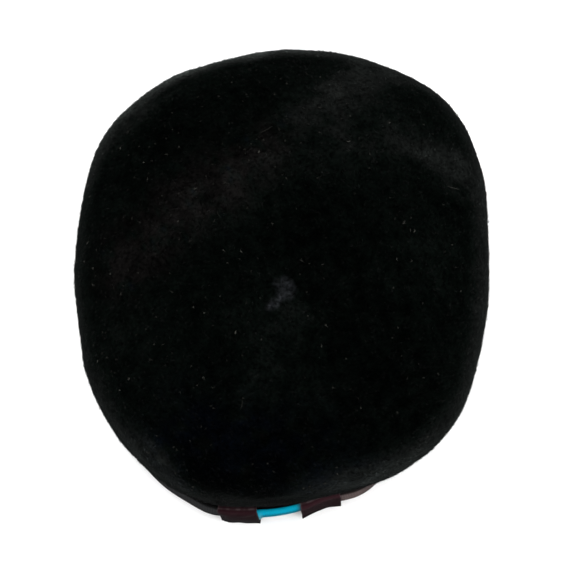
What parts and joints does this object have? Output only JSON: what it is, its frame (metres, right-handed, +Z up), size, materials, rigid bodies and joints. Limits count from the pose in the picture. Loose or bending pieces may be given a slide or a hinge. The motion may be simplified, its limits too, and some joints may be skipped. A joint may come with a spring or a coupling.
{
  "type": "felt hat",
  "caption": "Soft rounded black velour felt hat with a low upright head wall, a ribbon round it and a front trim of two dark brown loops and a turquoise strip.",
  "frame": {"origin": "on the surface the hat rests on, under the middle of its overall box", "axes": "+Z up through the crown, -Y to the front where the trim is, +X to the wearer's left"},
  "size_m": [0.1888, 0.2151, 0.092],
  "materials": {
    "felt": "deep black velour felt, dull, with a soft sheen at grazing angles",
    "ribbon": "dark grey ribbed ribbon, slightly glossy",
    "leather": "dark brown, low sheen",
    "turquoise": "smooth satin turquoise"
  },
  "bodies": {
    "root": {"crown": "felt", "ribbon_band": "ribbon", "trim_loop_left": "leather", "trim_loop_right": "leather", "turquoise_strip": "turquoise"}
  },
  "joints": []
}
